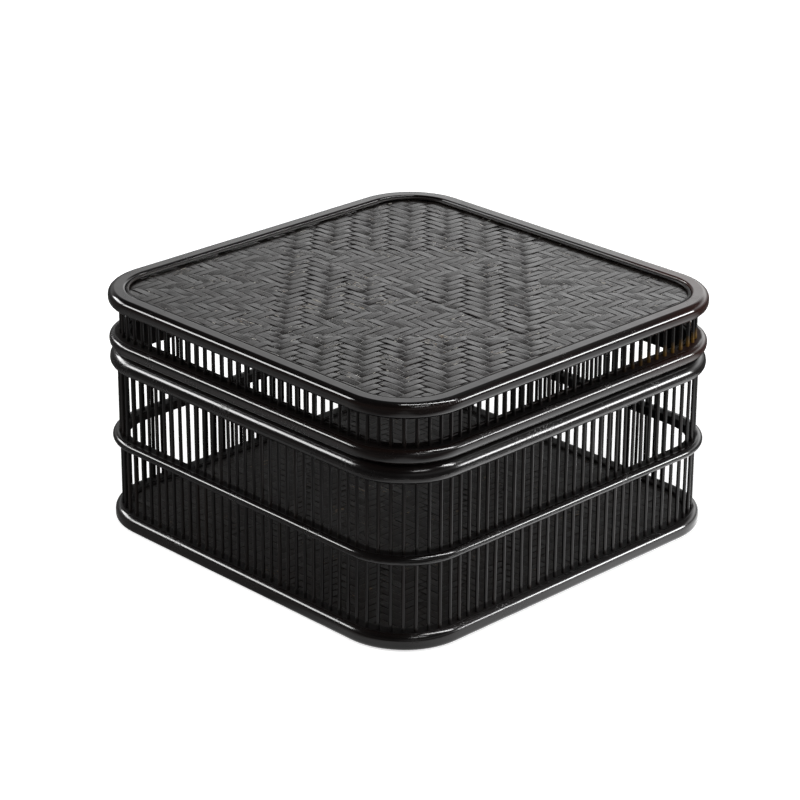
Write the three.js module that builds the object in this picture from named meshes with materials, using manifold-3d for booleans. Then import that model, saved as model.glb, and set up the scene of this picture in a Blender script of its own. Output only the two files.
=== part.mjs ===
// Square bamboo storage box with a lift-off lid, built like a bird cage:
// bent hoops with rounded corners, a wall of thin round sticks, woven panels.
// Millimetres, +Z up, origin under the middle of the box, on the table.
import * as THREE from 'three';
import { mergeGeometries, mergeVertices } from 'three/addons/utils/BufferGeometryUtils.js';
import Module from 'manifold-3d';

// Overall sizes
const side = 260;
const height = 140;
const boxHeight = 105;
const cornerRadius = 40;
const cornerSteps = 7;
const facetLength = 1.6;

// Clearances: pieces seated in one another, and the lid round the lip
const seatGap = 0.3;
const lidGap = 0.6;

// Sticks
const stickCount = 140;
const stickDiameter = 2.3;
const stickSides = 5;
const socketDepth = 3;
const boxStickInset = 5.05;
const lidStickInset = 6.85;

// Bottom ring, with the groove that holds the floor
const bottomRingHeight = 9.4;
const bottomRingShoulder = 3.2;
const bottomRingLowerEdge = 1.5;
const floorGrooveWall = 1.5;
const floorGrooveDepth = 2;
const floorGrooveLevel = 3;
const floorBoardThickness = 2.4;
const floorWeaveThickness = 2.2;

// Middle hoop of the box, half round on the outside
const hoopLevel = 48.8;
const hoopHeight = 5.4;
const hoopInnerWall = 2.8;
const hoopShoulder = 2.6;

// Top ring of the box and the thin lip that stands inside it
const topRingHeight = 10.6;
const topRingInnerWall = 3.2;
const topRingShoulder = 4;
const topRingLowerEdge = 2.5;
const lipThickness = 2.4;
const lipRise = 9.2;
const lipSunk = 9;

// Lower ring of the lid
const lidLowerRingHeight = 8.5;
const lidLowerRingShoulder = 2;
const lidLowerRingLowerEdge = 4;

// Top ring of the lid, with the ledge that carries the panel
const lidTopRingHeight = 9.2;
const lidTopRingInnerWall = 1.7;
const lidTopRingShoulder = 2.8;
const lidTopRingLowerEdge = 2.5;
const ledgeWidth = 3;
const ledgeHeight = 2.4;
const lidBoardThickness = 1.6;
const lidWeaveThickness = 2.2;
const beadWidth = 1.8;
const beadHeight = 1.3;

// Small rounding of the inner edges
const easedEdge = 0.8;

// Sizes worked out from the ones above
const halfSide = side / 2;
const stickRadius = stickDiameter / 2;
const socketHalf = stickRadius + seatGap;
const boxSocketInner = boxStickInset + socketHalf;
const lidSocketInner = lidStickInset + socketHalf;
const floorGrooveInset = boxSocketInner + floorGrooveWall;
const bottomRingWidth = floorGrooveInset + floorGrooveDepth;
const floorGrooveHeight = floorBoardThickness + floorWeaveThickness + 3 * seatGap;
const hoopWidth = boxStickInset + stickRadius + hoopInnerWall;
const topRingWidth = boxSocketInner + topRingInnerWall;
const topRingLevel = boxHeight - topRingHeight;
const lipInset = topRingWidth + seatGap;
const lidLowerRingWidth = lipInset - lidGap;
const lidLowerRingLevel = boxHeight + seatGap;
const lidTopRingWidth = lidSocketInner + lidTopRingInnerWall;
const lidTopRingLevel = height - lidTopRingHeight;
const ledgeTop = lidTopRingLevel + ledgeHeight;

const wasm = await Module();
wasm.setup();

// Outline of a section with some of its corners rounded.
// Each corner is [inset from the outside face, height, radius].
function roundedOutline(corners) {
  return corners.flatMap(([inset, level, radius = 0], i) => {
    const corner = new THREE.Vector2(inset, level);
    if (radius === 0) return [corner];
    const toBefore = new THREE.Vector2(...corners.at(i - 1)).sub(corner).normalize();
    const toAfter = new THREE.Vector2(...corners[(i + 1) % corners.length]).sub(corner).normalize();
    const halfAngle = Math.acos(toBefore.dot(toAfter)) / 2;
    const toCentre = toBefore.clone().add(toAfter).setLength(radius / Math.sin(halfAngle));
    const centre = corner.clone().add(toCentre);
    const reach = radius / Math.tan(halfAngle);
    const start = corner.clone().addScaledVector(toBefore, reach).sub(centre);
    const end = corner.clone().addScaledVector(toAfter, reach).sub(centre);
    const turn = Math.atan2(start.cross(end), start.dot(end));
    const steps = Math.ceil(radius * Math.abs(turn) / facetLength);
    return Array.from({ length: steps + 1 }, (_, step) => (
      start.clone().rotateAround(new THREE.Vector2(), turn * step / steps).add(centre)
    ));
  });
}

// A bent hoop: the section carried round a square with rounded corners
function bentHoop(corners) {
  const outline = roundedOutline(corners);
  const straight = halfSide - cornerRadius;
  const stations = [];
  for (let quarter = 0; quarter < 4; quarter += 1) {
    const diagonal = (quarter + 0.5) * Math.PI / 2;
    for (let step = 0; step <= cornerSteps; step += 1) {
      stations.push({
        centreX: straight * Math.sign(Math.cos(diagonal)),
        centreY: straight * Math.sign(Math.sin(diagonal)),
        angle: (quarter + step / cornerSteps) * Math.PI / 2,
      });
    }
  }
  const positions = stations.flatMap(({ centreX, centreY, angle }) => (
    outline.flatMap((point) => [
      centreX + (cornerRadius - point.x) * Math.cos(angle),
      centreY + (cornerRadius - point.x) * Math.sin(angle),
      point.y,
    ])
  ));
  const index = [];
  for (let s = 0; s < stations.length; s += 1) {
    for (let p = 0; p < outline.length; p += 1) {
      const here = s * outline.length;
      const next = ((s + 1) % stations.length) * outline.length;
      const q = (p + 1) % outline.length;
      index.push(here + p, next + q, here + q, here + p, next + p, next + q);
    }
  }
  const geometry = new THREE.BufferGeometry();
  geometry.setAttribute('position', new THREE.Float32BufferAttribute(positions, 3));
  geometry.setIndex(index);
  return geometry;
}

// A flat panel with rounded corners, its edge a given inset inside the hoops
function panel(inset, level, thickness) {
  const reach = halfSide - inset;
  const radius = cornerRadius - inset;
  const straight = halfSide - cornerRadius;
  const shape = new THREE.Shape();
  shape.moveTo(reach, -straight);
  shape.absarc(straight, straight, radius, 0, Math.PI / 2);
  shape.absarc(-straight, straight, radius, Math.PI / 2, Math.PI);
  shape.absarc(-straight, -straight, radius, Math.PI, 3 * Math.PI / 2);
  shape.absarc(straight, -straight, radius, 3 * Math.PI / 2, 2 * Math.PI);
  const geometry = new THREE.ExtrudeGeometry(shape, {
    depth: thickness,
    bevelEnabled: false,
    curveSegments: cornerSteps / 2,
  });
  return geometry.translate(0, 0, level);
}

// Place and facing of a point that lies a given way along the stick line
function alongWall(distance, inset) {
  const straight = halfSide - cornerRadius;
  const radius = cornerRadius - inset;
  const bend = radius * Math.PI / 2;
  const quarterLength = 2 * straight + bend;
  const quarter = Math.floor(distance / quarterLength);
  const rest = distance - quarter * quarterLength;
  const bent = Math.min(Math.max(rest - straight, 0), bend);
  const angle = bent / radius;
  const point = new THREE.Vector2(
    straight + radius * Math.cos(angle) - Math.max(rest - straight - bend, 0),
    Math.min(rest, straight) + radius * Math.sin(angle),
  );
  const turn = quarter * Math.PI / 2;
  point.rotateAround(new THREE.Vector2(), turn);
  return { x: point.x, y: point.y, angle: angle + turn };
}

// The row of sticks at one inset, evenly spaced, with one on each diagonal
function stickRow(inset, bottom, top) {
  const perimeter = 8 * (halfSide - cornerRadius) + 2 * Math.PI * (cornerRadius - inset);
  const pitch = perimeter / stickCount;
  const sticks = [];
  for (let i = 0; i < stickCount; i += 1) {
    const place = alongWall((i + 0.5) * pitch, inset);
    const stick = new THREE.CylinderGeometry(stickRadius, stickRadius, top - bottom, stickSides);
    stick.rotateX(Math.PI / 2);
    stick.rotateZ(place.angle);
    stick.translate(place.x, place.y, (bottom + top) / 2);
    sticks.push(stick);
  }
  return mergeGeometries(sticks);
}

function toSolid(geometry) {
  const bare = geometry.clone();
  bare.deleteAttribute('normal');
  bare.deleteAttribute('uv');
  const merged = mergeVertices(bare);
  return new wasm.Manifold(new wasm.Mesh({
    numProp: 3,
    vertProperties: merged.attributes.position.array,
    triVerts: new Uint32Array(merged.index.array),
  }));
}

// One geometry of two pieces that are joined for good
function joined(first, second) {
  const mesh = toSolid(first).add(toSolid(second)).getMesh();
  const geometry = new THREE.BufferGeometry();
  geometry.setAttribute('position', new THREE.BufferAttribute(mesh.vertProperties, 3));
  geometry.setIndex(new THREE.BufferAttribute(mesh.triVerts, 1));
  return geometry;
}

// Bottom ring: sockets for the sticks above, a groove for the floor inside
function bottomRing() {
  const grooveTop = floorGrooveLevel + floorGrooveHeight;
  const socketFloor = bottomRingHeight - socketDepth;
  return bentHoop([
    [0, 0, bottomRingLowerEdge],
    [0, bottomRingHeight, bottomRingShoulder],
    [boxStickInset - socketHalf, bottomRingHeight],
    [boxStickInset - socketHalf, socketFloor],
    [boxSocketInner, socketFloor],
    [boxSocketInner, bottomRingHeight],
    [bottomRingWidth, bottomRingHeight],
    [bottomRingWidth, grooveTop],
    [floorGrooveInset, grooveTop],
    [floorGrooveInset, floorGrooveLevel],
    [bottomRingWidth, floorGrooveLevel],
    [bottomRingWidth, 0],
  ]);
}

// Floor: a thin board with the woven sheet on it, both held in the groove
function floorBoard() {
  return panel(floorGrooveInset + seatGap, floorGrooveLevel + seatGap, floorBoardThickness);
}

function floorWeave() {
  const level = floorGrooveLevel + floorBoardThickness + 2 * seatGap;
  return panel(floorGrooveInset + seatGap, level, floorWeaveThickness);
}

// Middle hoop with the long sticks that run through it
function hoopAndSticks() {
  const hoopTop = hoopLevel + hoopHeight;
  const hoop = bentHoop([
    [0, hoopLevel, hoopShoulder],
    [0, hoopTop, hoopShoulder],
    [hoopWidth, hoopTop, easedEdge],
    [hoopWidth, hoopLevel, easedEdge],
  ]);
  const bottom = bottomRingHeight - socketDepth + seatGap;
  const top = topRingLevel + socketDepth - seatGap;
  return joined(hoop, stickRow(boxStickInset, bottom, top));
}

// Top ring of the box, with sockets for the sticks below
function boxTopRing() {
  const socketRoof = topRingLevel + socketDepth;
  return bentHoop([
    [0, topRingLevel, topRingLowerEdge],
    [0, boxHeight, topRingShoulder],
    [topRingWidth, boxHeight],
    [topRingWidth, topRingLevel, easedEdge],
    [boxSocketInner, topRingLevel],
    [boxSocketInner, socketRoof],
    [boxStickInset - socketHalf, socketRoof],
    [boxStickInset - socketHalf, topRingLevel],
  ]);
}

// Thin lip inside the top ring: the lid drops over it
function innerLip() {
  return bentHoop([
    [lipInset, boxHeight - lipSunk],
    [lipInset, boxHeight + lipRise, easedEdge],
    [lipInset + lipThickness, boxHeight + lipRise, easedEdge],
    [lipInset + lipThickness, boxHeight - lipSunk],
  ]);
}

// Lower ring of the lid with the short sticks that stand in it
function lidLowerRingAndSticks() {
  const ringTop = lidLowerRingLevel + lidLowerRingHeight;
  const ring = bentHoop([
    [0, lidLowerRingLevel, lidLowerRingLowerEdge],
    [0, ringTop, lidLowerRingShoulder],
    [lidLowerRingWidth, ringTop, easedEdge],
    [lidLowerRingWidth, lidLowerRingLevel, easedEdge],
  ]);
  const bottom = ringTop - socketDepth;
  const top = lidTopRingLevel + socketDepth - seatGap;
  return joined(ring, stickRow(lidStickInset, bottom, top));
}

// Top ring of the lid: sockets below, a ledge inside for the panel
function lidTopRing() {
  const socketRoof = lidTopRingLevel + socketDepth;
  return bentHoop([
    [0, lidTopRingLevel, lidTopRingLowerEdge],
    [0, height, lidTopRingShoulder],
    [lidTopRingWidth, height, easedEdge],
    [lidTopRingWidth, ledgeTop],
    [lidTopRingWidth + ledgeWidth, ledgeTop],
    [lidTopRingWidth + ledgeWidth, lidTopRingLevel],
    [lidSocketInner, lidTopRingLevel],
    [lidSocketInner, socketRoof],
    [lidStickInset - socketHalf, socketRoof],
    [lidStickInset - socketHalf, lidTopRingLevel],
  ]);
}

// Lid panel: a thin board on the ledge, the woven sheet on the board
function lidBoard() {
  return panel(lidTopRingWidth + seatGap, ledgeTop + seatGap, lidBoardThickness);
}

function lidWeave() {
  const level = ledgeTop + lidBoardThickness + 2 * seatGap;
  return panel(lidTopRingWidth + seatGap, level, lidWeaveThickness);
}

// Narrow bead that holds the woven sheet down round its edge
function lidBead() {
  const inset = lidTopRingWidth + seatGap;
  const level = ledgeTop + lidBoardThickness + lidWeaveThickness + 3 * seatGap;
  return bentHoop([
    [inset, level],
    [inset, level + beadHeight, easedEdge],
    [inset + beadWidth, level + beadHeight, easedEdge],
    [inset + beadWidth, level],
  ]);
}

const ringLacquer = { color: 0x1c1614, roughness: 0.25, metalness: 0 };
const stickLacquer = { color: 0x15110f, roughness: 0.3, metalness: 0 };
const wovenLacquer = { color: 0x241d1a, roughness: 0.35, metalness: 0 };
const boardStain = { color: 0x1a1412, roughness: 0.6, metalness: 0 };

function piece(name, geometry, finish) {
  const mesh = new THREE.Mesh(geometry, new THREE.MeshStandardMaterial(finish));
  mesh.name = name;
  return mesh;
}

const box = new THREE.Group();
box.add(
  piece('box_bottom_ring', bottomRing(), ringLacquer),
  piece('box_floor_board', floorBoard(), boardStain),
  piece('box_floor_weave', floorWeave(), wovenLacquer),
  piece('box_hoop_and_sticks', hoopAndSticks(), stickLacquer),
  piece('box_top_ring', boxTopRing(), ringLacquer),
  piece('box_inner_lip', innerLip(), ringLacquer),
);

const lid = new THREE.Group();
lid.add(
  piece('lid_lower_ring_and_sticks', lidLowerRingAndSticks(), stickLacquer),
  piece('lid_top_ring', lidTopRing(), ringLacquer),
  piece('lid_board', lidBoard(), boardStain),
  piece('lid_weave', lidWeave(), wovenLacquer),
  piece('lid_bead', lidBead(), ringLacquer),
);

const storageBox = new THREE.Group();
storageBox.add(box, lid);

export default storageBox;
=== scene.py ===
# %% [markdown]
# A lacquered bamboo box with a lift-off lid, dressed round its fixed frame.
# The frame gives the place of every hoop, board and sheet, in metres. This
# file only makes surfaces: hoops swept round a square with rounded corners,
# rows of sticks, and sheets woven strip by strip.

# %% Load the frame
import math

import bpy
from mathutils import Matrix, Quaternion, Vector


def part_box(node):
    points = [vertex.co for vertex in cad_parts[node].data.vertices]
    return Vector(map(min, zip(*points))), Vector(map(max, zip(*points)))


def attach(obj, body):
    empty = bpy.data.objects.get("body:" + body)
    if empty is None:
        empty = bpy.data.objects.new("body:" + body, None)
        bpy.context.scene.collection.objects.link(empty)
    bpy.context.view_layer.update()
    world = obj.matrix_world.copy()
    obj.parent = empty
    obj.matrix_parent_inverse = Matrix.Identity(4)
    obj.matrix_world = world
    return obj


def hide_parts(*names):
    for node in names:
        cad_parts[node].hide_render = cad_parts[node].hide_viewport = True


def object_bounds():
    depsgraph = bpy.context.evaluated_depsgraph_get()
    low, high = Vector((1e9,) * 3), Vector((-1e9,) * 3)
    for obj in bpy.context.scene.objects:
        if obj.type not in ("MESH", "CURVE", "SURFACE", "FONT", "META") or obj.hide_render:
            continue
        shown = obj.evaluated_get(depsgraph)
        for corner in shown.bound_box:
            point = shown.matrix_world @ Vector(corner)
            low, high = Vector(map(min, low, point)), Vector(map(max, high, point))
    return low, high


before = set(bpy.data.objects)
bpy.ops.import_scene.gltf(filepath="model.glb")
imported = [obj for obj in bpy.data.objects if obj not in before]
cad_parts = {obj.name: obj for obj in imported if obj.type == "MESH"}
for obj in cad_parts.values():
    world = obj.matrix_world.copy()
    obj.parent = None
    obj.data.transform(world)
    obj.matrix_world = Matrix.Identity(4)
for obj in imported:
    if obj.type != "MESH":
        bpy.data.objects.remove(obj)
frame_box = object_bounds()
mm = 0.001
print("frame:", sorted(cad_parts))

# %% [markdown]
# The camera comes first, because everything is judged through it. It could be
# placed by eye. Here its angle, distance and lens were found by fitting the
# corners and hoops of the box in the photograph, which leaves nothing to taste.
# The optical axis doesn't pass through the middle of the picture, so the lens
# is shifted a little, and the camera leans a third of a degree.

# %% Camera
picture_size = 800
view_azimuth = 45.588
view_elevation = 23.035
view_distance = 1622 * mm
view_target = Vector((0, 0, 70 * mm))
view_roll = 0.312
focal_pixels = 2870
axis_pixel = (407.6, 403.0)
sensor_width = 36


def direction(azimuth, elevation):
    """Unit vector towards a place round the box. Azimuth 0 is in front, on the -Y side."""
    a = math.radians(azimuth)
    e = math.radians(elevation)
    return Vector((math.sin(a) * math.cos(e), -math.cos(a) * math.cos(e), math.sin(e)))


def add_camera():
    lens = bpy.data.cameras.new("camera")
    lens.sensor_width = sensor_width
    lens.lens = focal_pixels / picture_size * sensor_width
    lens.shift_x = (picture_size / 2 - axis_pixel[0]) / picture_size
    lens.shift_y = (axis_pixel[1] - picture_size / 2) / picture_size
    camera = bpy.data.objects.new("camera", lens)
    bpy.context.scene.collection.objects.link(camera)
    back = direction(view_azimuth, view_elevation)
    turn = back.to_track_quat("Z", "Y") @ Quaternion((0, 0, 1), math.radians(view_roll))
    place = Matrix.Translation(view_target + back * view_distance)
    camera.matrix_world = place @ turn.to_matrix().to_4x4()
    bpy.context.scene.camera = camera
    return camera


camera = add_camera()
print("camera at", [round(c, 3) for c in camera.location], "lens", round(camera.data.lens, 1))

# %% [markdown]
# Node trees are long to write out one node at a time. Two small helpers keep
# them readable: `put` places a node with its inputs, and `Amount` turns sums
# written in Python into Math nodes, so that a formula stays a formula.

# %% Helpers for node trees
nodes_in_a_row = 12


def plug(tree, socket, value):
    if isinstance(value, Amount):
        tree.links.new(value.socket, socket)
    elif isinstance(value, bpy.types.NodeSocket):
        tree.links.new(value, socket)
    else:
        socket.default_value = value


def put(tree, kind, inputs=None, **settings):
    """Places a node, with its settings and its inputs by name or number."""
    made = tree.nodes.new(kind)
    row, column = divmod(len(tree.nodes), nodes_in_a_row)
    made.location = (180 * column, -220 * row)
    for name, value in settings.items():
        setattr(made, name, value)
    for name, value in (inputs or {}).items():
        plug(tree, made.inputs[name], value)
    return made


def first(tree, kind, inputs=None, **settings):
    """The first output of a new node, ready for sums."""
    return Amount(tree, put(tree, kind, inputs, **settings).outputs[0])


class Amount:
    """An output in a node tree. Sums on it become Math nodes."""

    def __init__(self, tree, socket):
        self.tree = tree
        self.socket = socket

    def math(self, operation, *others):
        inputs = dict(enumerate((self, *others)))
        return first(self.tree, "ShaderNodeMath", inputs, operation=operation)

    def ramp(self, start, end, low=0.0, high=1.0):
        """Goes evenly from low to high while this number goes from start to end."""
        reach = {"From Min": start, "From Max": end, "To Min": low, "To Max": high}
        return first(self.tree, "ShaderNodeMapRange", {"Value": self, **reach})

    def __add__(self, other):
        return self.math("ADD", other)

    def __sub__(self, other):
        return self.math("SUBTRACT", other)

    def __mul__(self, other):
        return self.math("MULTIPLY", other)

    def __truediv__(self, other):
        return self.math("DIVIDE", other)

    def __abs__(self):
        return self.math("ABSOLUTE")

    def above(self, other):
        return self.math("GREATER_THAN", other)

    def below(self, other):
        return self.math("LESS_THAN", other)


print("node helpers ready")

# %% [markdown]
# A few nodes come up again and again, such as soft noise. Naming them once
# keeps every later cell to what is special about its piece.

# %% Helpers for vectors, noise and trees
def separate(tree, vector):
    """The three numbers of a vector."""
    made = put(tree, "ShaderNodeSeparateXYZ", {0: vector})
    return [Amount(tree, made.outputs[place]) for place in range(3)]


def combine(tree, x, y, z):
    return first(tree, "ShaderNodeCombineXYZ", {0: x, 1: y, 2: z})


def dot(tree, vector, other):
    made = put(tree, "ShaderNodeVectorMath", {0: vector, 1: other}, operation="DOT_PRODUCT")
    return Amount(tree, made.outputs["Value"])


def noise(tree, vector, scale, detail, w=None, output="Fac"):
    """Soft noise in three dimensions, or in four with w."""
    inputs = {"Vector": vector, "Scale": scale, "Detail": detail}
    if w is None:
        made = put(tree, "ShaderNodeTexNoise", inputs)
    else:
        made = put(tree, "ShaderNodeTexNoise", {**inputs, "W": w}, noise_dimensions="4D")
    return Amount(tree, made.outputs[output])


def new_tree(name, inputs, outputs=None, kind="GeometryNodeTree"):
    """A node tree with named inputs. Returns the tree and its inputs, ready for sums."""
    tree = bpy.data.node_groups.new(name, kind)
    outputs = outputs or {"Geometry": "Geometry"}
    for side, sockets in (("INPUT", inputs), ("OUTPUT", outputs)):
        for title, what in sockets.items():
            tree.interface.new_socket(name=title, in_out=side, socket_type="NodeSocket" + what)
    entry = put(tree, "NodeGroupInput")
    given = {title: Amount(tree, entry.outputs[title]) for title in inputs}
    return tree, given


def close_tree(tree, results):
    put(tree, "NodeGroupOutput", results)
    return tree


print("tree helpers ready")

# %% [markdown]
# Black gloss lacquer shows almost nothing of its own colour. What the eye
# reads is the room in it, so the room is made with as much care as the box. A
# picture of a studio could stand for it, but a few ramps can be tuned one by
# one. The backdrop behind the box gives the grey of the flat tops, brighter to
# the right. The room above and behind the camera is dark, so the shoulders and
# the faces turned to us stay black. The camera itself sees plain white.

# %% Room
scene = bpy.context.scene
scene.view_settings.view_transform = "Standard"
across_view = direction(view_azimuth + 90, 0)
towards_view = direction(view_azimuth, 0)
room_fill = 0.6
backdrop_top = (0.35, 0.53, 1.6, 0.12)
backdrop_foot = (0.1, 0.27, 0.25, 1.0)
left_to_right = (-0.2, 0.2, 0.35, 1.7)
far_to_near = (-0.5, 0.2, 1.0, 0.2)


def add_room():
    world = bpy.data.worlds.new("pale room")
    scene.world = world
    world.use_nodes = True
    tree = world.node_tree
    tree.nodes.clear()
    looking = put(tree, "ShaderNodeTexCoord").outputs["Generated"]
    height = separate(tree, looking)[2]
    seen = height.ramp(*backdrop_top) * height.ramp(*backdrop_foot)
    seen = seen * dot(tree, looking, across_view).ramp(*left_to_right)
    seen = seen * dot(tree, looking, towards_view).ramp(*far_to_near)
    rays = put(tree, "ShaderNodeLightPath")
    camera_ray = Amount(tree, rays.outputs["Is Camera Ray"])
    glossy_ray = Amount(tree, rays.outputs["Is Glossy Ray"])
    strength = (seen - room_fill) * glossy_ray + room_fill
    strength = strength * (camera_ray * -1.0 + 1.0) + camera_ray
    white = first(tree, "ShaderNodeBackground", {"Color": (1, 1, 1, 1), "Strength": strength})
    put(tree, "ShaderNodeOutputWorld", {"Surface": white})


add_room()
print("room fill", room_fill)

# %% [markdown]
# Light panels at both sides draw the thin bright lines along the shoulders of
# the hoops. The lines could be painted on, but then they would not move with
# the view. How high a panel stands sets how far down the shoulder its line
# runs, so the right one stands lower. Two more are there for the gloss alone: a
# slim arch carries the lines round the front corner, and one to the rear
# carries them round the left corner. The last one adds the short gleam on the
# front corner itself.

# %% Light panels
def add_panel(name, azimuth, elevation, distance, width, height, brightness, only_gloss=False):
    """A light panel turned to the box. Its azimuth counts from the camera, to the right."""
    lamp = bpy.data.lights.new(name, "AREA")
    lamp.shape = "RECTANGLE"
    lamp.size = width
    lamp.size_y = height
    lamp.energy = brightness * math.pi * width * height
    panel = bpy.data.objects.new(name, lamp)
    scene.collection.objects.link(panel)
    away = direction(view_azimuth + azimuth, elevation)
    turn = away.to_track_quat("Z", "Y").to_matrix().to_4x4()
    panel.matrix_world = Matrix.Translation(view_target + away * distance) @ turn
    panel.visible_camera = False
    panel.visible_diffuse = not only_gloss
    return panel


add_panel("right panel", 89, 9.5, 2.6, 0.62, 0.5, 42)
add_panel("left panel", -93, 26, 2.6, 0.7, 0.6, 22)
add_panel("rear left panel", -120, 26, 2.6, 1.3, 0.6, 16, only_gloss=True)
add_panel("arched panel", 82, 64, 1.8, 0.14, 2.0, 60, only_gloss=True)
add_panel("corner panel", 28, 50, 2.0, 0.6, 0.2, 14)

# %% [markdown]
# The box stands on white paper. Seen directly it is white, and it still takes
# the soft shadow of the box. The lower half of every hoop and all the sticks
# show this paper in their gloss. There its own colour is left out and its
# brightness is painted light, a glow set by place: a painted pool of light on
# the right, where the low panel rakes over it, dimmer painted light on the left
# and in a narrow path towards the camera, and dark elsewhere.

# %% Floor
floor_reach = 6
floor_level = -0.2 * mm
floor_whiteness = 0.8
floor_roughness = 0.9
floor_glow_seen = 0.6
floor_glow_elsewhere = 0.12


def painted_floor_light_in_gloss(tree, place):
    """Painted light: how bright the paper is in a reflection, by place round the box, in metres."""
    across = dot(tree, place, across_view)
    towards = dot(tree, place, towards_view)
    front = separate(tree, place)[1]
    left = across.ramp(-0.1, 0.0, 0.32, 0.0) * front.ramp(-0.22, -0.13, 1.0, 0.2)
    right = across.ramp(0.15, 0.45, 2.2, 1.5) * across.ramp(0.0, 0.1, 0.0, 1.0)
    beside = towards.ramp(-0.12, -0.02, 0.0, 1.0) * towards.ramp(0.16, 0.3, 1.0, 0.0)
    beside = beside * abs(across).ramp(0.45, 0.7, 1.0, 0.15)
    ahead = abs(across).ramp(0.02, 0.08, 1.0, 0.0) * towards.ramp(0.34, 0.44, 0.9, 0.3)
    ahead = ahead * towards.ramp(0.0, 0.1, 0.0, 1.0)
    return (left + right) * beside + ahead + floor_glow_elsewhere


def add_floor():
    mesh = bpy.data.meshes.new("floor")
    r = floor_reach
    corners = [(x, y, floor_level) for x, y in ((-r, -r), (r, -r), (r, r), (-r, r))]
    mesh.from_pydata(corners, [], [(0, 1, 2, 3)])
    floor = bpy.data.objects.new("floor", mesh)
    scene.collection.objects.link(floor)
    paper = bpy.data.materials.new("floor paper")
    paper.use_nodes = True
    tree = paper.node_tree
    surface = tree.nodes["Principled BSDF"]
    surface.inputs["Roughness"].default_value = floor_roughness
    surface.inputs["Specular IOR Level"].default_value = 0
    surface.inputs["Emission Color"].default_value = (1, 1, 1, 1)
    place = put(tree, "ShaderNodeTexCoord").outputs["Object"]
    rays = put(tree, "ShaderNodeLightPath")
    camera_ray = Amount(tree, rays.outputs["Is Camera Ray"])
    glossy_ray = Amount(tree, rays.outputs["Is Glossy Ray"])
    # For glossy rays the paper's own colour is left out, and the painted light glows in its place.
    plug(tree, surface.inputs["Base Color"], glossy_ray * -floor_whiteness + floor_whiteness)
    glow = camera_ray * floor_glow_seen + painted_floor_light_in_gloss(tree, place) * glossy_ray
    plug(tree, surface.inputs["Emission Strength"], glow)
    mesh.materials.append(paper)


add_floor()
print("floor", floor_reach * 2, "m wide")

# %% [markdown]
# Lacquer on bamboo has three things to show: fine fibre streaks along the
# piece, small nicks where it was handled, and a slow waviness where the
# lacquer flowed before it set. Each is a shader group that several finishes
# share, with its own values in each of them.

# %% Shared surface effects
def fibre_group():
    """Fine streaks along the grain. The vector has the grain already stretched out."""
    tree, given = new_tree(
        "Fibre streaks",
        {"Vector": "Vector", "W": "Float"},
        {"Streaks": "Float", "Height": "Float"},
        "ShaderNodeTree",
    )
    coarse = noise(tree, given["Vector"], 1.0, 4.0, given["W"])
    fine = noise(tree, given["Vector"], 3.7, 2.0, given["W"] * 3.1)
    height = coarse * 0.4 + fine * 0.6
    return close_tree(tree, {"Streaks": coarse.ramp(0.42, 0.68), "Height": height})


def nicks_group():
    """Sparse small specks, as a mask that is 1 in a nick."""
    tree, given = new_tree(
        "Nicks",
        {"Vector": "Vector", "Density": "Float"},
        {"Mask": "Float"},
        "ShaderNodeTree",
    )
    specks = noise(tree, given["Vector"], 900.0, 1.0)
    both = specks * noise(tree, given["Vector"], 60.0, 1.0)
    low = given["Density"] * -0.1 + 0.48
    return close_tree(tree, {"Mask": both.ramp(low, low + 0.04)})


def flow_group():
    """Slow waviness of set lacquer."""
    tree, given = new_tree(
        "Lacquer flow",
        {"Vector": "Vector"},
        {"Height": "Float", "Patches": "Float"},
        "ShaderNodeTree",
    )
    slow = noise(tree, given["Vector"], 120.0, 2.0)
    patches = noise(tree, given["Vector"], 22.0, 3.0)
    return close_tree(tree, {"Height": slow, "Patches": patches})


fibre = fibre_group()
nicks = nicks_group()
flow = flow_group()
print("shader groups:", fibre.name, nicks.name, flow.name)

# %% [markdown]
# All finishes are the Principled surface over black, with the shared effects
# plugged in. They read the place on the piece itself, so the pattern stays on
# the wood when the lid is lifted. On the lid, near one corner, the lacquer has
# run thin and shows amber and red. That is one mask on the place in the piece,
# and every finish of the lid may use it.

# %% Helpers for finishes
lacquer_index = 1.4
near_black = (0.0035, 0.0030, 0.0030, 1)
thin_corner = (108 * mm, 118 * mm)
thin_reach = 80 * mm


def begin_finish(name):
    material = bpy.data.materials.new(name)
    material.use_nodes = True
    tree = material.node_tree
    place = put(tree, "ShaderNodeTexCoord").outputs["Object"]
    return material, tree, tree.nodes["Principled BSDF"], place


def give_lacquer(tree, surface, colour, roughness, gloss):
    look = {"Base Color": colour, "Roughness": roughness, "Specular IOR Level": gloss}
    for name, value in {**look, "IOR": lacquer_index}.items():
        plug(tree, surface.inputs[name], value)


def attribute(tree, name, output="Fac"):
    """A value that the piece's own mesh carries."""
    return Amount(tree, put(tree, "ShaderNodeAttribute", attribute_name=name).outputs[output])


def shared(tree, group, inputs):
    """Places a shared effect and returns its outputs by name."""
    made = put(tree, "ShaderNodeGroup", inputs, node_tree=group)
    return {socket.name: Amount(tree, socket) for socket in made.outputs}


def stretched_fibres(tree, vector, stretch, w):
    along = first(tree, "ShaderNodeMapping", {"Vector": vector, "Scale": stretch})
    return shared(tree, fibre, {"Vector": along, "W": w})


def blend(tree, share, first, second):
    made = put(tree, "ShaderNodeMix", {"Factor": share}, data_type="RGBA")
    plug(tree, made.inputs[6], first)
    plug(tree, made.inputs[7], second)
    return made.outputs[2]


def give_relief(tree, surface, height, strength, depth):
    inputs = {"Strength": strength, "Distance": depth, "Height": height}
    plug(tree, surface.inputs["Normal"], first(tree, "ShaderNodeBump", inputs))


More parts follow.
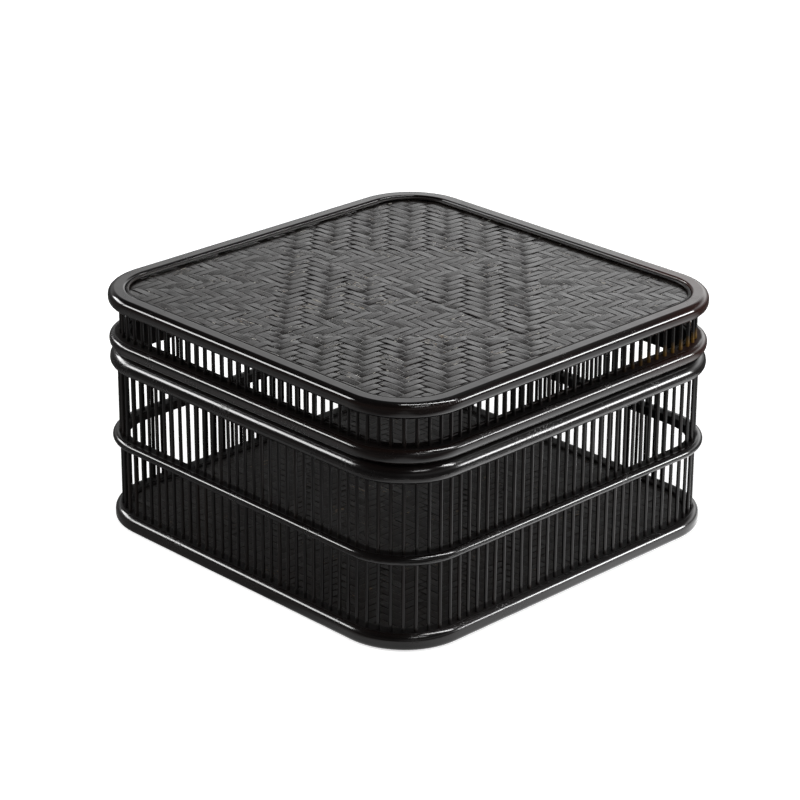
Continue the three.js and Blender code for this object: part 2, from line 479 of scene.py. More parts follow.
def thin_lacquer_mask(tree, place):
    """1 where the lacquer of the lid has run thin, round one corner."""
    x, y, _ = separate(tree, place)
    off_x = x - thin_corner[0]
    off_y = y - thin_corner[1]
    far = (off_x * off_x + off_y * off_y).math("SQRT")
    return far.ramp(thin_reach, 0.25 * thin_reach)


print("finish helpers ready")

# %% [markdown]
# A hoop is split bamboo, so its fibres run along it, and brown shows through
# the black where they stand up. A wood picture wrapped round it would show a
# seam. Streaks in four dimensions, stretched along the hoop, do not. Where
# sticks are glued in, the hoop is dull and black: glue and thick lacquer have
# gathered there. The inset from the outer face tells where that begins.

# %% Finish of the hoops
warm_brown = (0.030, 0.012, 0.007, 1)
thin_red = (0.034, 0.009, 0.005, 1)
glued_inset = 3.6 * mm


def hoop_finish(name, share, thin=0.0, dullness=0.06, glued=0.0, gloss=0.5):
    """Gloss lacquer on a bent hoop, the fibres running along it."""
    material, tree, surface, place = begin_finish(name)
    grain = attribute(tree, "grain", "Vector")
    level = separate(tree, place)[2]
    fibres = stretched_fibres(tree, grain, (6, 6, 420), level * 420)
    wave = shared(tree, flow, {"Vector": place})
    chips = shared(tree, nicks, {"Vector": place, "Density": 1.0})["Mask"]
    streaks, patches = fibres["Streaks"], wave["Patches"]
    colour = blend(tree, streaks * patches * share, near_black, warm_brown)
    if thin:
        mask = thin_lacquer_mask(tree, place)
        colour = blend(tree, mask * patches * thin, colour, thin_red)
    rough = streaks * 0.03 + patches * 0.04 + chips * 0.2 + dullness
    if glued:
        inset = separate(tree, grain)[2] * -1.0 + wave["Height"] * 1.5 * mm
        joint = inset.ramp(glued_inset, glued_inset + 1 * mm, 0.0, glued)
        rough = rough + joint * 0.4
        gloss = joint * -0.4 + gloss
    relief = fibres["Height"] * 0.25 + wave["Height"] * 0.8 - chips * 0.5
    give_relief(tree, surface, relief, 0.25, 0.1 * mm)
    give_lacquer(tree, surface, colour, rough, gloss)
    return material


box_lacquer = hoop_finish("box hoop lacquer", 0.15, dullness=0.13, glued=1.0)
lid_foot_lacquer = hoop_finish(
    "lid lower hoop lacquer", 0.25, thin=1.2, dullness=0.13, glued=1.0
)
lid_lacquer = hoop_finish("lid top hoop lacquer", 0.3, thin=1.2, gloss=0.42)
lip_lacquer = hoop_finish("lip lacquer", 0.5, dullness=0.1, glued=1.0)
bead_lacquer = hoop_finish("bead lacquer", 0.5, dullness=0.32, gloss=0.25)
print("finishes:", [m.name for m in bpy.data.materials])

# %% [markdown]
# The sticks were dipped, not brushed. They are a little duller than the hoops,
# each its own shade, and dull at the foot where they are glued in. In the lid
# their feet are amber near the thin corner. A second material for the feet
# would end in a hard line, so the height above the foot drives a soft change.

# %% Finish of the sticks
stick_brown = (0.012, 0.007, 0.005, 1)
amber = (0.12, 0.065, 0.013, 1)
dull_foot = (2.5 * mm, 4.5 * mm)


def stick_finish(name, amber_height=0.0):
    """Lacquer on split and rounded sticks: dull at the foot, amber there where it ran thin."""
    material, tree, surface, place = begin_finish(name)
    stick = attribute(tree, "stick")
    above_foot = attribute(tree, "above_foot")
    fibres = stretched_fibres(tree, place, (700, 700, 25), stick * 40)
    streaks = fibres["Streaks"]
    colour = blend(tree, streaks * stick * 0.6, near_black, stick_brown)
    if amber_height:
        low_down = above_foot.ramp(0.3 * amber_height, amber_height, 1.0, 0.0)
        colour = blend(tree, thin_lacquer_mask(tree, place) * low_down, colour, amber)
    joint = (above_foot + stick * 2 * mm).ramp(*dull_foot, 1.0, 0.0)
    rough = streaks * 0.08 + joint * 0.4 + 0.13
    give_relief(tree, surface, fibres["Height"], 0.4, 0.1 * mm)
    give_lacquer(tree, surface, colour, rough, joint * -0.25 + 0.32)
    return material


box_stick_lacquer = stick_finish("box stick lacquer")
lid_stick_lacquer = stick_finish("lid stick lacquer", 7 * mm)
print("finishes:", box_stick_lacquer.name, lid_stick_lacquer.name)

# %% [markdown]
# A woven strip is flat bamboo under thin lacquer. Its edges are rounded off,
# which the bump does, because a rounded section would cost many faces on each
# of the 92 strips. Burrs are bumps that catch the light. Along the strip edges
# some burrs also get a pale colour, a painted glint that stands in for a
# highlight, and a few bare flecks are golden. All of them are long the way the
# fibres run, so they are drawn in the strip's own place, along and across.

# %% Finish of the woven strips
strip_half_width = 2.45 * mm
strip_black = (0.0045, 0.0038, 0.0035, 1)
strip_brown = (0.014, 0.010, 0.008, 1)
bare_gold = (0.10, 0.065, 0.03, 1)
# pale colour of the painted glints on burrs at the strip edges
painted_glint_pale = (0.42, 0.40, 0.36, 1)
painted_glint_edge = 0.8


def woven_finish(name, dullness, gloss=0.5, painted_glints=0.0):
    """Lacquer over flat strips: fibre lines along each strip, each strip its own shade of colour,
    and painted glints on edge burrs.
    """
    material, tree, surface, place = begin_finish(name)
    fibre_place = attribute(tree, "strip_place", "Vector")
    shade = attribute(tree, "strip_shade")
    fibres = stretched_fibres(tree, fibre_place, (28, 900, 1), shade * 50)
    wave = shared(tree, flow, {"Vector": place})
    travel, sideways, _ = separate(tree, fibre_place)
    fleck_place = combine(tree, travel * 0.3, sideways, shade * 0.05)
    flecks = shared(tree, nicks, {"Vector": fleck_place, "Density": 0.2})["Mask"]
    burrs_and_painted_glints = shared(tree, nicks, {"Vector": fleck_place, "Density": 1.0})["Mask"]
    streaks = fibres["Streaks"]
    edge = abs(sideways) / strip_half_width
    colour = blend(tree, streaks * 0.5 + shade * 0.3, strip_black, strip_brown)
    colour = blend(tree, flecks, colour, bare_gold)
    # painted highlight: a pale colour on burrs near the strip edges, in place of glints
    colour = blend(tree, burrs_and_painted_glints * edge.above(painted_glint_edge) * painted_glints, colour, painted_glint_pale)
    rough = streaks * 0.08 + wave["Patches"] * 0.12 + shade * 0.05 + dullness
    relief = fibres["Height"] * 1.1 + wave["Height"] * 0.6
    relief = relief + burrs_and_painted_glints * 8.0 - edge.math("POWER", 12.0) * 1.5
    give_relief(tree, surface, relief, 0.4, 0.15 * mm)
    give_lacquer(tree, surface, colour, rough, gloss)
    return material


# the lid's strips get the painted glints
lid_weave_lacquer = woven_finish("lid weave lacquer", 0.12, painted_glints=0.8)
floor_weave_lacquer = woven_finish("floor weave lacquer", 0.4, gloss=0.2)
print("finishes:", lid_weave_lacquer.name, floor_weave_lacquer.name)

# %% [markdown]
# The boards under the woven sheets are thin sawn wood with a dark stain. Only
# their undersides show, so the fibre streaks and little gloss are enough.

# %% Finish of the boards
board_dark = (0.020, 0.014, 0.011, 1)
board_light = (0.045, 0.028, 0.018, 1)


def board_finish(name):
    material, tree, surface, place = begin_finish(name)
    fibres = stretched_fibres(tree, place, (18, 260, 260), 2.0)
    streaks = fibres["Streaks"]
    plug(tree, surface.inputs["Base Color"], blend(tree, streaks, board_dark, board_light))
    plug(tree, surface.inputs["Roughness"], streaks * 0.2 + 0.5)
    give_relief(tree, surface, fibres["Height"], 0.4, 0.1 * mm)
    return material


board_stain = board_finish("board stain")
print("finish:", board_stain.name)

# %% [markdown]
# A Geometry Nodes tree is only a recipe until it is run on an object. Leaving
# it as a live modifier would hide the mesh from the later steps. So this
# helper takes the result as a plain mesh and throws the modifier away.

# %% Helpers that make pieces
def plain_mesh(name, points, edges=(), faces=()):
    mesh = bpy.data.meshes.new(name)
    mesh.from_pydata([tuple(p) for p in points], list(edges), list(faces))
    return mesh


def grow(name, mesh, tree, values):
    """Runs a tree on a mesh and returns the result as a plain object."""
    start = bpy.data.objects.new(name + "_start", mesh)
    scene.collection.objects.link(start)
    modifier = start.modifiers.new("recipe", "NODES")
    modifier.node_group = tree
    for item in tree.interface.items_tree:
        if item.in_out == "INPUT" and item.name in values:
            modifier[item.identifier] = values[item.name]
    graph = bpy.context.evaluated_depsgraph_get()
    result = bpy.data.meshes.new_from_object(start.evaluated_get(graph), depsgraph=graph)
    result.name = name
    start.modifiers.remove(modifier)
    bpy.data.objects.remove(start)
    piece = bpy.data.objects.new(name, result)
    scene.collection.objects.link(piece)
    return piece


def seat(piece, node, body):
    """Puts a finished piece on its body and hides the frame's solid for its node."""
    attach(piece, body)
    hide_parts(node)
    triangles = sum(len(p.vertices) - 2 for p in piece.data.polygons)
    low, high = (Vector(c) for c in (piece.bound_box[0], piece.bound_box[6]))
    print(piece.name, triangles, "triangles,", [round(c * 1000, 1) for c in (*low, *high)])


print("piece helpers ready")

# %% [markdown]
# The trees share a few steps too, such as the square path with rounded corners
# that every hoop and every row of sticks follows.

# %% Helpers for geometry trees
def piece_tree(name, numbers, counts):
    """A tree that takes a start mesh, its numbers, its counts and the finish."""
    values = {**dict.fromkeys(numbers, "Float"), **dict.fromkeys(counts, "Int")}
    return new_tree(name, {"Geometry": "Geometry", **values, "Finish": "Material"})


def store(tree, geometry, name, value, kind="FLOAT", domain="POINT"):
    """Writes a value on the geometry under a name."""
    inputs = {"Geometry": geometry, "Name": name, "Value": value}
    return first(tree, "GeometryNodeStoreNamedAttribute", inputs, data_type=kind, domain=domain)


def stored(tree, name, kind="FLOAT"):
    return first(tree, "GeometryNodeInputNamedAttribute", {"Name": name}, data_type=kind)


def random_number(tree, seed, high=1.0):
    """A number from 0 to high for each point."""
    inputs = {"Seed": seed, 2: 0.0, 3: high}
    made = put(tree, "FunctionNodeRandomValue", inputs, data_type="FLOAT")
    return Amount(tree, made.outputs[1])


def rounded_square(tree, side, radius, count):
    """A square path whose corners are arcs of count points."""
    sides = {"Width": side, "Height": side}
    square = first(tree, "GeometryNodeCurvePrimitiveQuadrilateral", sides)
    inputs = {"Curve": square, "Radius": radius, "Count": count}
    return first(tree, "GeometryNodeFilletCurve", inputs, mode="POLY")


def move(tree, geometry, offset):
    inputs = {"Geometry": geometry, "Offset": offset}
    return first(tree, "GeometryNodeSetPosition", inputs)


def end_tree(tree, geometry, smooth, finish):
    """Smooth shading, real geometry in place of instances, and the finish."""
    inputs = {"Geometry": geometry, "Shade Smooth": smooth}
    shaded = first(tree, "GeometryNodeSetShadeSmooth", inputs)
    whole = first(tree, "GeometryNodeRealizeInstances", {"Geometry": shaded})
    inputs = {"Geometry": whole, "Material": finish}
    return close_tree(tree, {"Geometry": first(tree, "GeometryNodeSetMaterial", inputs)})


print("geometry helpers ready")

# %% [markdown]
# Every hoop of this box is one length of bamboo, planed to a section, heated
# and bent to a square with round corners. A block with bevelled edges would
# have the same roundness everywhere. So the section is given as corners that
# each have a radius, and a tree carries it round the square.

# %% Section of a hoop
half_side = frame_box[1].x
corner_radius = 40 * mm
arc_steps = 5
arc_lead = 0.3 * mm
skin = 0.12 * mm


def section(corners):
    """Outline of a section in metres. Each corner is (inset, level, radius), in metres."""
    points = []
    count = len(corners)
    for i, (inset, level, radius) in enumerate(corners):
        corner = Vector((inset, level))
        before = (Vector(corners[i - 1][:2]) - corner).normalized()
        after = (Vector(corners[(i + 1) % count][:2]) - corner).normalized()
        half_angle = before.angle(after) / 2
        reach = radius / math.tan(half_angle)
        centre = corner + (before + after).normalized() * radius / math.sin(half_angle)
        start = corner + before * reach - centre
        sweep = (corner + after * reach - centre).angle_signed(start)
        points.append(corner + before * (reach + arc_lead))
        for step in range(arc_steps + 1):
            turn = Matrix.Rotation(sweep * step / arc_steps, 2)
            points.append(centre + turn @ start)
        points.append(corner + after * (reach + arc_lead))
    return points


def closed_outline(name, points):
    edges = [(i, (i + 1) % len(points)) for i in range(len(points))]
    return plain_mesh(name, [(x, y, 0) for x, y in points], edges)


def section_mesh(name, corners):
    """The outline as edges. A swept profile has X outwards and Y down, so both turn round."""
    return closed_outline(name, [(-p.x, -p.y) for p in section(corners)])


print("half side", round(half_side * 1000, 1), "mm")

# %% [markdown]
# The tree sweeps the section along the rounded square. Two values travel with
# it to the finish: where round the hoop a point is, and how far in. A ruled
# sweep would give ruled highlights, which bent bamboo never has. A little
# noise moves the points, and it follows the way round, so it has no seam.

# %% Tree that bends a hoop
round_trip_radius = 0.15
waviness_scale = 45.0


def hoop_tree():
    numbers = ("Side", "Corner radius", "Waviness", "Seed")
    tree, given = piece_tree("Bent hoop", numbers, ("Corner points", "Path points"))
    corners = (given["Corner radius"], given["Corner points"])
    rounded = rounded_square(tree, given["Side"], *corners)
    inputs = {"Curve": rounded, "Count": given["Path points"]}
    path = first(tree, "GeometryNodeResampleCurve", inputs)
    path = first(tree, "GeometryNodeSetCurveNormal", {"Curve": path}, mode="Z_UP")
    turn = Amount(tree, put(tree, "GeometryNodeSplineParameter").outputs["Factor"]) * math.tau
    cosine = turn.math("COSINE") * round_trip_radius
    sine = turn.math("SINE") * round_trip_radius
    path = store(tree, path, "round_trip", combine(tree, cosine, sine, 0.0), "FLOAT_VECTOR")
    outline = first(tree, "GeometryNodeMeshToCurve", {"Mesh": given["Geometry"]})
    place = first(tree, "GeometryNodeInputPosition")
    profile = store(tree, outline, "section_place", place, "FLOAT_VECTOR")
    swept = first(tree, "GeometryNodeCurveToMesh", {"Curve": path, "Profile Curve": profile})
    round_trip = stored(tree, "round_trip", "FLOAT_VECTOR")
    inset = separate(tree, stored(tree, "section_place", "FLOAT_VECTOR"))[0]
    cosine, sine, _ = separate(tree, round_trip)
    grain = combine(tree, cosine, sine, inset)
    grained = store(tree, swept, "grain", grain, "FLOAT_VECTOR")
    push = noise(tree, round_trip, waviness_scale, 2.0, given["Seed"], "Color")
    inputs = {0: push, 1: (0.5, 0.5, 0.5)}
    centred = first(tree, "ShaderNodeVectorMath", inputs, operation="SUBTRACT")
    inputs = {0: centred, "Scale": given["Waviness"]}
    shift = first(tree, "ShaderNodeVectorMath", inputs, operation="SCALE")
    return end_tree(tree, move(tree, grained, shift), True, given["Finish"])


bent_hoop = hoop_tree()


def hoop(name, corners, finish, seed, waviness=0.2 * mm):
    return grow(
        name,
        section_mesh(name + "_section", corners),
        bent_hoop,
        {
            "Side": 2 * half_side,
            "Corner radius": corner_radius,
            "Corner points": 40,
            "Path points": 300,
            "Waviness": waviness,
            "Seed": float(seed),
            "Finish": finish,
        },
    )


print("tree:", bent_hoop.name)

# %% [markdown]
# The four rings and the middle hoop differ only in their sections, so one
# function makes them all. Their levels come from the frame. The shoulders
# follow the outline of the box in the photograph: the lid's lower ring and the
# box's top ring are rounded most where they meet, which leaves the dark groove
# between lid and box.

# %% Rings of the box
inner_edge = 0.8 * mm


def levels(node):
    low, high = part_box(node)
    return low.z, high.z


def ring(name, node, body, finish, seed, low, high, width, lower, upper):
    """A hoop whose outer shoulders, lower and upper, each have a radius of their own."""
    corners = [
        (skin, low + skin, lower),
        (width, low + skin, inner_edge),
        (width, high - skin, inner_edge),
        (skin, high - skin, upper),
    ]
    seat(hoop(name, corners, finish, seed), node, body)


bottom_low, bottom_high = levels("box_bottom_ring")
ring(
    "bottom_ring", "box_bottom_ring", "box", box_lacquer, 1,
    bottom_low, bottom_high, width=10 * mm, lower=2.5 * mm, upper=4.2 * mm,
)
hoop_low = 48.8 * mm
hoop_high = hoop_low + 5.4 * mm
ring(
    "middle_hoop", "box_hoop_and_sticks", "box", box_lacquer, 2,
    hoop_low, hoop_high, width=9 * mm, lower=2.5 * mm, upper=2.5 * mm,
)
top_low, top_high = levels("box_top_ring")
ring(
    "box_top_ring_bent", "box_top_ring", "box", box_lacquer, 3,
    top_low, top_high, width=9.7 * mm, lower=4.2 * mm, upper=6 * mm,
)

# %% [markdown]
# Inside the top ring stands a thin flat strip, which keeps the lid from
# sliding off. It is bent like the hoops, so the same tree makes it.

# %% Inner lip
lip_low, lip_high = levels("box_inner_lip")
lip_inset = half_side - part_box("box_inner_lip")[1].x
lip_thickness = 2.4 * mm
lip_foot = 0.4 * mm
lip_edge = 0.9 * mm
lip_corners = [
    (lip_inset + skin, lip_low + skin, lip_foot),
    (lip_inset + lip_thickness - skin, lip_low + skin, lip_foot),
    (lip_inset + lip_thickness - skin, lip_high - skin, lip_edge),
    (lip_inset + skin, lip_high - skin, lip_edge),
]
seat(hoop("inner_lip", lip_corners, lip_lacquer, 4), "box_inner_lip", "box")

# %% [markdown]
# The lid has a lower ring like those of the box, and a top ring with a ledge
# inside that carries the board and the woven sheet. The ledge could be a
# second hoop. It is drawn into the section, because on the real ring it is
# planed from the same bamboo.

# %% Rings of the lid
lid_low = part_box("lid_lower_ring_and_sticks")[0].z
lid_ring_high = lid_low + 8.5 * mm
ring(
    "lid_lower_ring", "lid_lower_ring_and_sticks", "lid", lid_foot_lacquer, 5,
    lid_low, lid_ring_high, width=9.4 * mm, lower=4.5 * mm, upper=2.8 * mm,
)
lid_top_low, lid_top_high = levels("lid_top_ring")
lid_ring_width = 10 * mm
ledge_edge = 0.4 * mm
ledge_inset = lid_ring_width + 3 * mm
ledge_top = lid_top_low + 2.4 * mm - skin
lid_top_corners = [
    (skin, lid_top_low + skin, 3.8 * mm),
    (ledge_inset, lid_top_low + skin, ledge_edge),
    (ledge_inset, ledge_top, ledge_edge),
    (lid_ring_width, ledge_top, 0.2 * mm),
    (lid_ring_width, lid_top_high - skin, 1.25 * mm),
    (skin, lid_top_high - skin, 3.6 * mm),
]
lid_top_ring = hoop("lid_top_ring_bent", lid_top_corners, lid_lacquer, 6)
seat(lid_top_ring, "lid_top_ring", "lid")

# %% [markdown]
# The walls are rows of thin round sticks, glued into the rings. The eye sees
# three rows: below the middle hoop, above it, and in the lid. One stick is
# drawn point by point. A ready cylinder lacks two things: a ring of points
# where it enters the hoop, which keeps the hidden end from bending the
# shading, and the height above the foot, which the finish goes by.

# %% One stick
stick_radius = 1.05 * mm
stick_sides = 8
stick_sunk = 1.2 * mm


def stick_mesh(name, bottom, top):
    """A stick between two surfaces, sunk a little way into both."""
    heights = (bottom - stick_sunk, bottom, top, top + stick_sunk)
    points = []
    for height in heights:
        for side in range(stick_sides):
            angle = math.tau * side / stick_sides
            points.append((stick_radius * math.cos(angle), stick_radius * math.sin(angle), height))
    last = (len(heights) - 1) * stick_sides
    faces = [tuple(reversed(range(stick_sides)))]
    for first in range(0, last, stick_sides):
        for side in range(stick_sides):
            here = first + side
            beside = first + (side + 1) % stick_sides
            faces.append((here, beside, beside + stick_sides, here + stick_sides))
    faces.append(tuple(range(last, last + stick_sides)))
    mesh = plain_mesh(name, points, (), faces)
    above_foot = mesh.attributes.new("above_foot", "FLOAT", "POINT")
    above_foot.data.foreach_set("value", [point[2] - bottom for point in points])
    return mesh


print("a stick has", stick_sides * 3 + 2, "faces")

# %% [markdown]
# An array along the path would space the sticks unevenly round the corners.
# The tree measures the path instead and stands a stick at each even step. It
# gives each its own lean, turn and thickness, as hand-split sticks have.

# %% Tree that stands the sticks
def stick_places(tree, given):
    """Points at even steps along the rounded square, the first on a diagonal."""
    rounded = rounded_square(tree, given["Side"], given["Corner radius"], 60)
    length = first(tree, "GeometryNodeCurveLength", {0: rounded})
    number = first(tree, "GeometryNodeInputIndex")
    to_diagonal = given["Corner radius"] * (math.pi / 4)
    distance = length / given["Count"] * number + to_diagonal
    inputs = {"Curves": rounded, "Length": distance.math("MODULO", length)}
    sample = put(tree, "GeometryNodeSampleCurve", inputs, mode="LENGTH", use_all_curves=True)
    inputs = {"Count": given["Count"], "Position": sample.outputs["Position"]}
    places = first(tree, "GeometryNodePoints", inputs)
    return move(tree, places, combine(tree, 0.0, 0.0, given["Middle"]))


def stick_tree():
    numbers = ("Side", "Corner radius", "Middle", "Lean", "Spread")
    tree, given = piece_tree("Row of sticks", numbers, ("Count", "Seed"))
    inputs = {"Seed": given["Seed"], 0: (-1, -1, 0), 1: (1, 1, 0)}
    lean = first(tree, "FunctionNodeRandomValue", inputs, data_type="FLOAT_VECTOR")
    lean_x, lean_y, _ = separate(tree, lean)
    spin = random_number(tree, given["Seed"], math.tau)
    shade = random_number(tree, given["Seed"] + 7.0)
    thick = (shade - 0.5) * given["Spread"] + 1.0
    inputs = {
        "Points": stick_places(tree, given),
        "Instance": given["Geometry"],
        "Rotation": combine(tree, lean_x * given["Lean"], lean_y * given["Lean"], spin),
        "Scale": combine(tree, thick, thick, 1.0),
    }
    stood = first(tree, "GeometryNodeInstanceOnPoints", inputs)
    marked = store(tree, stood, "stick", shade, domain="INSTANCE")
    return end_tree(tree, marked, True, given["Finish"])


row_of_sticks = stick_tree()
print("tree:", row_of_sticks.name, len(row_of_sticks.nodes), "nodes")

# %% [markdown]
# There are 140 sticks in each row, 35 to a side. The long sticks of the real
# box run through the middle hoop. What a hoop hides need not be drawn, so each
# row ends just inside the skin of the rings above and below.

# %% Rows of sticks
stick_inset = 5.05 * mm
lid_stick_inset = 6.85 * mm
stick_count = 140
stick_lean = math.radians(0.25)
stick_spread = 0.12


def stick_row(name, node, body, finish, seed, inset, low, high):
    bottom, top = low - skin, high + skin
    middle = (bottom + top) / 2
    row = grow(
        name,
        stick_mesh(name + "_one", bottom - middle, top - middle),
        row_of_sticks,
        {
            "Side": 2 * (half_side - inset),
            "Corner radius": corner_radius - inset,
            "Count": stick_count,
            "Middle": middle,
            "Lean": stick_lean,
            "Spread": stick_spread,
            "Seed": seed,
            "Finish": finish,
        },
    )
    seat(row, node, body)


stick_row(
    "lower_sticks", "box_hoop_and_sticks", "box", box_stick_lacquer, 11,
    stick_inset, bottom_high, hoop_low,
)
stick_row(
    "upper_sticks", "box_hoop_and_sticks", "box", box_stick_lacquer, 12,
    stick_inset, hoop_high, top_low,
)
stick_row(
    "lid_sticks", "lid_lower_ring_and_sticks", "lid", lid_stick_lacquer, 13,
    lid_stick_inset, lid_ring_high, lid_top_low,
)

# %% [markdown]
# The lid and the floor are woven sheets. Flat strips cross at right angles,
# and each passes over three and under three, one step further on in the next
# row: a twill. The weaver turns the steps round in zones, so that the ribs
# run towards the viewer near two corners and across at the other two, with a
# diamond of turned ribs in the middle. The ribs that run across lie flatter.
# A table of crossings would do, but a rule is short. It has a tree of its own,
# because the strips of both ways ask it.

# %% Rule of the weave
floats = 3
diamond_half_width = 96 * mm
diamond_half_length = 102 * mm
crosswise_flattening = 0.65


def crossing_tree():
    """Above 0 where, at a column and a row, the strip along X is on top, else below."""
    tree, given = new_tree(
        "Over or under",
        {"Column": "Float", "Row": "Float", "Pitch": "Float", "Reach": "Float"},
        {"Side": "Float"},
    )
    x = (given["Column"] + 0.5) * given["Pitch"] - given["Reach"]
    y = (given["Row"] + 0.5) * given["Pitch"] - given["Reach"]
    towards = abs(x - y)
    across = abs(x + y)
    outer_rows = across.above(diamond_half_length)
    inner = towards.below(diamond_half_width) * across.below(diamond_half_length)
    rows = outer_rows.math("MAXIMUM", inner * towards.above(across))
    step = rows * -2.0 + 1.0
    phase = (given["Column"] + given["Row"] * step).math("FLOORED_MODULO", 2.0 * floats)
    on_top = phase.below(floats - 0.5)
    lift = rows * -crosswise_flattening + 1.0
    return close_tree(tree, {"Side": (on_top * 2.0 - 1.0) * lift})


over_or_under = crossing_tree()
print("tree:", over_or_under.name)

# %% [markdown]
# A bump on a flat board would look woven from above and flat from the side. So
# each strip is laid as a line of its own and lifted by the rule. Its height at
# a point is a smooth mean of the three nearest crossings, as a stiff strip
# bends.

# %% Laying and lifting the strips
def laid_strips(tree, given, pitch, swap):
    """Straight lines side by side, each with its number and its shade."""
    reach = given["Reach"]
    inputs = {"Start": combine(tree, reach * -1.0, 0.0, 0.0), "End": combine(tree, reach, 0.0, 0.0)}
    line = first(tree, "GeometryNodeCurvePrimitiveLine", inputs)
    inputs = {"Curve": line, "Count": given["Strips"] * given["Steps"] + 1.0}
    fine = first(tree, "GeometryNodeResampleCurve", inputs)
    number = first(tree, "GeometryNodeInputIndex")
    place = combine(tree, 0.0, (number + 0.5) * pitch - reach, 0.0)
    inputs = {"Count": given["Strips"], "Position": place}
    places = first(tree, "GeometryNodePoints", inputs)
    inputs = {"Points": places, "Instance": fine}
    laid = first(tree, "GeometryNodeInstanceOnPoints", inputs)
    laid = store(tree, laid, "row", number, domain="INSTANCE")
    shade = random_number(tree, given["Seed"] + (1.0 if swap else 0.0))
    laid = store(tree, laid, "strip_shade", shade, domain="INSTANCE")
    return first(tree, "GeometryNodeRealizeInstances", {"Geometry": laid})


def height_by_rule(tree, given, pitch, x, row, swap):
    """Height of a strip at x along it, from the three crossings nearest to x."""
    travel = (x + given["Reach"]) / pitch
    nearest = travel.math("FLOOR")
    share = travel - nearest
    rest = share * -1.0 + 1.0
    weights = [rest * rest * 0.5, share * rest + 0.5, share * share * 0.5]
    lift = None
    for ahead, weight in zip((-1.0, 0.0, 1.0), weights):
        along = nearest + ahead
        column, line = (row, along) if swap else (along, row)
        inputs = {"Column": column, "Row": line, "Pitch": pitch, "Reach": given["Reach"]}
        part = first(tree, "GeometryNodeGroup", inputs, node_tree=over_or_under) * weight
        lift = part if lift is None else lift + part
    return lift * given["Rise"] * (-1.0 if swap else 1.0)


def trimmed(tree, given, lines, x, y):
    """Leaves out what lies outside the rounded corners of the sheet."""
    straight = given["Reach"] - given["Corner radius"]
    past_x = (abs(x) - straight).math("MAXIMUM", 0.0)
    past_y = (abs(y) - straight).math("MAXIMUM", 0.0)
    outside = (past_x * past_x + past_y * past_y).math("SQRT").above(given["Corner radius"])
    inputs = {"Geometry": lines, "Selection": outside}
    return first(tree, "GeometryNodeDeleteGeometry", inputs, domain="POINT")


print("strip helpers ready")

# %% [markdown]
# Hand-split strips wander a little to the side and roll about their length,
# which makes neighbours catch the light differently. Random numbers would jump
# from point to point, so both come from a slow noise along the strip.

# %% Tree that weaves a sheet
facing_up_from = 0.6


def unrest(tree, along, across, layer):
    """A slow noise round 0 along a strip."""
    return noise(tree, combine(tree, along, across, layer), 1.0, 1.0) - 0.5


def strips_one_way(tree, given, profile, swap):
    """All the strips that run one way. With swap they run along Y."""
    pitch = given["Reach"] * 2.0 / given["Strips"]
    lines = laid_strips(tree, given, pitch, swap)
    row = stored(tree, "row")
    x, y, _ = separate(tree, first(tree, "GeometryNodeInputPosition"))
    height = height_by_rule(tree, given, pitch, x, row, swap)
    wander = unrest(tree, x * 60.0, row * 3.7, 9.0 if swap else 0.0)
    roll = unrest(tree, x * 70.0, row * 5.3, 4.0 if swap else 2.0)
    aside = y + wander * given["Wander"]
    place = combine(tree, aside, x, height) if swap else combine(tree, x, aside, height)
    inputs = {"Geometry": trimmed(tree, given, lines, x, y), "Position": place}
    lifted = first(tree, "GeometryNodeSetPosition", inputs)
    upright = first(tree, "GeometryNodeSetCurveNormal", {"Curve": lifted}, mode="Z_UP")
    inputs = {"Curve": upright, "Tilt": roll * given["Roll"]}
    rolled = first(tree, "GeometryNodeSetCurveTilt", inputs)
    length = put(tree, "GeometryNodeSplineParameter").outputs["Length"]
    tracked = store(tree, rolled, "along", length)
    inputs = {"Curve": tracked, "Profile Curve": profile, "Fill Caps": True}
    return first(tree, "GeometryNodeCurveToMesh", inputs)


def weave_tree():
    numbers = ("Reach", "Corner radius", "Rise", "Wander", "Roll", "Level")
    tree, given = piece_tree("Woven sheet", numbers, ("Strips", "Steps", "Seed"))
    outline = first(tree, "GeometryNodeMeshToCurve", {"Mesh": given["Geometry"]})
    side_place = separate(tree, first(tree, "GeometryNodeInputPosition"))[0]
    profile = store(tree, outline, "side_place", side_place)
    both = put(tree, "GeometryNodeJoinGeometry")
    for swap in (True, False):
        plug(tree, both.inputs[0], strips_one_way(tree, given, profile, swap))
    place = combine(tree, stored(tree, "along"), stored(tree, "side_place"), 0.0)
    mapped = store(tree, both.outputs[0], "strip_place", place, "FLOAT_VECTOR")
    raised = move(tree, mapped, combine(tree, 0.0, 0.0, given["Level"]))
    upward = separate(tree, first(tree, "GeometryNodeInputNormal"))[2]
    return end_tree(tree, raised, upward.above(facing_up_from), given["Finish"])


woven_sheet = weave_tree()
print("tree:", woven_sheet.name, len(woven_sheet.nodes), "nodes")

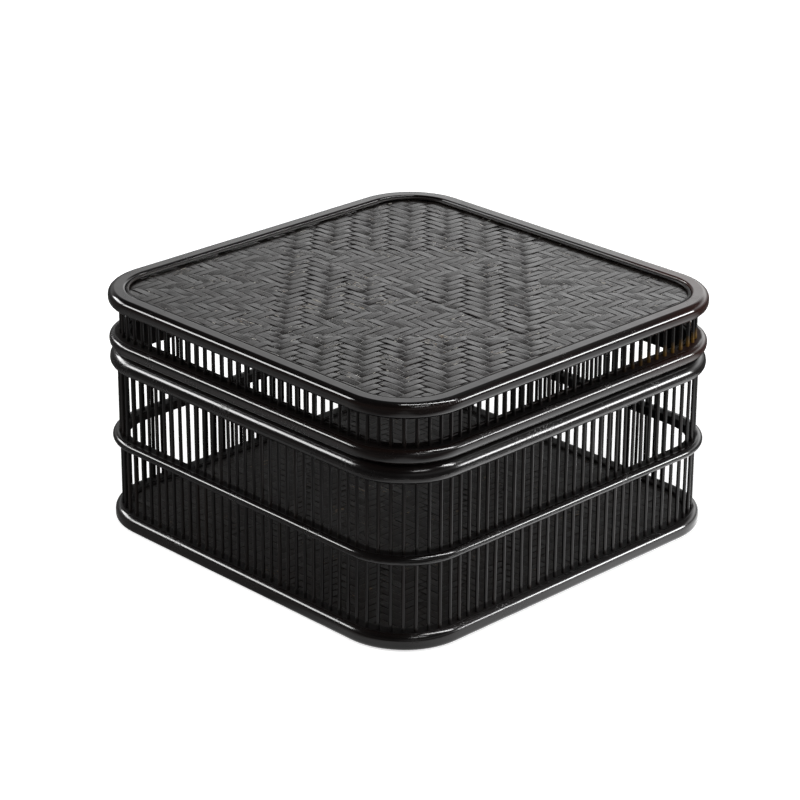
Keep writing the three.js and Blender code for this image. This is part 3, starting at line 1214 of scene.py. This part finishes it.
# %% [markdown]
# Both sheets come from the one tree. The lid's strips arch more and have more
# points, because the eye rests on the lid. The floor is only seen between the
# sticks.

# %% Woven sheets
strip_count = 46
strip_crown = 0.08 * mm
strip_depth = 0.3 * mm
crown_share = 0.45
room_above = 0.45 * mm


def strip_outline(name):
    """Section of one strip: slightly crowned on top, square at the edges and flat below."""
    w = strip_half_width
    half = [(w, -strip_depth), (w, 0), (crown_share * w, strip_crown)]
    return closed_outline(name, half + [(-x, y) for x, y in reversed(half)])


def sheet_of_strips(name, node, body, finish, seed, steps, rise):
    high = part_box(node)[1]
    sheet = grow(
        name,
        strip_outline(name + "_strip"),
        woven_sheet,
        {
            "Reach": high.x,
            "Corner radius": corner_radius - (half_side - high.x),
            "Strips": strip_count,
            "Steps": steps,
            "Rise": rise,
            "Wander": 0.7 * mm,
            "Roll": math.radians(22),
            "Level": high.z - rise - room_above,
            "Seed": seed,
            "Finish": finish,
        },
    )
    seat(sheet, node, body)


sheet_of_strips(
    "lid_woven_sheet", "lid_weave", "lid", lid_weave_lacquer, 21, steps=3, rise=0.42 * mm
)
sheet_of_strips(
    "floor_woven_sheet", "box_floor_weave", "box", floor_weave_lacquer, 22,
    steps=2, rise=0.25 * mm,
)

# %% [markdown]
# A thin strip holds the edge of the woven sheet down. It is bent like the
# hoops, so the same tree makes it, a little more wavy than they are.

# %% Bead
bead_low, bead_high = levels("lid_bead")
bead_outer = half_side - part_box("lid_bead")[1].x
bead_inner = bead_outer + 1.8 * mm
bead_foot = 0.2 * mm
bead_corners = [
    (bead_outer, bead_low, bead_foot),
    (bead_inner, bead_low, bead_foot),
    (bead_inner, bead_high, 0.9 * mm),
    (bead_outer, bead_high, 0.6 * mm),
]
bead = hoop("edge_bead", bead_corners, bead_lacquer, 7, waviness=0.3 * mm)
seat(bead, "lid_bead", "lid")

# %% [markdown]
# The two boards are flat and nearly hidden, so the frame's own solids stay,
# and only get the stained finish.

# %% Boards
for name in ("lid_board", "box_floor_board"):
    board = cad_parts[name]
    board.data.materials.clear()
    board.data.materials.append(board_stain)
    print(name, "stained")
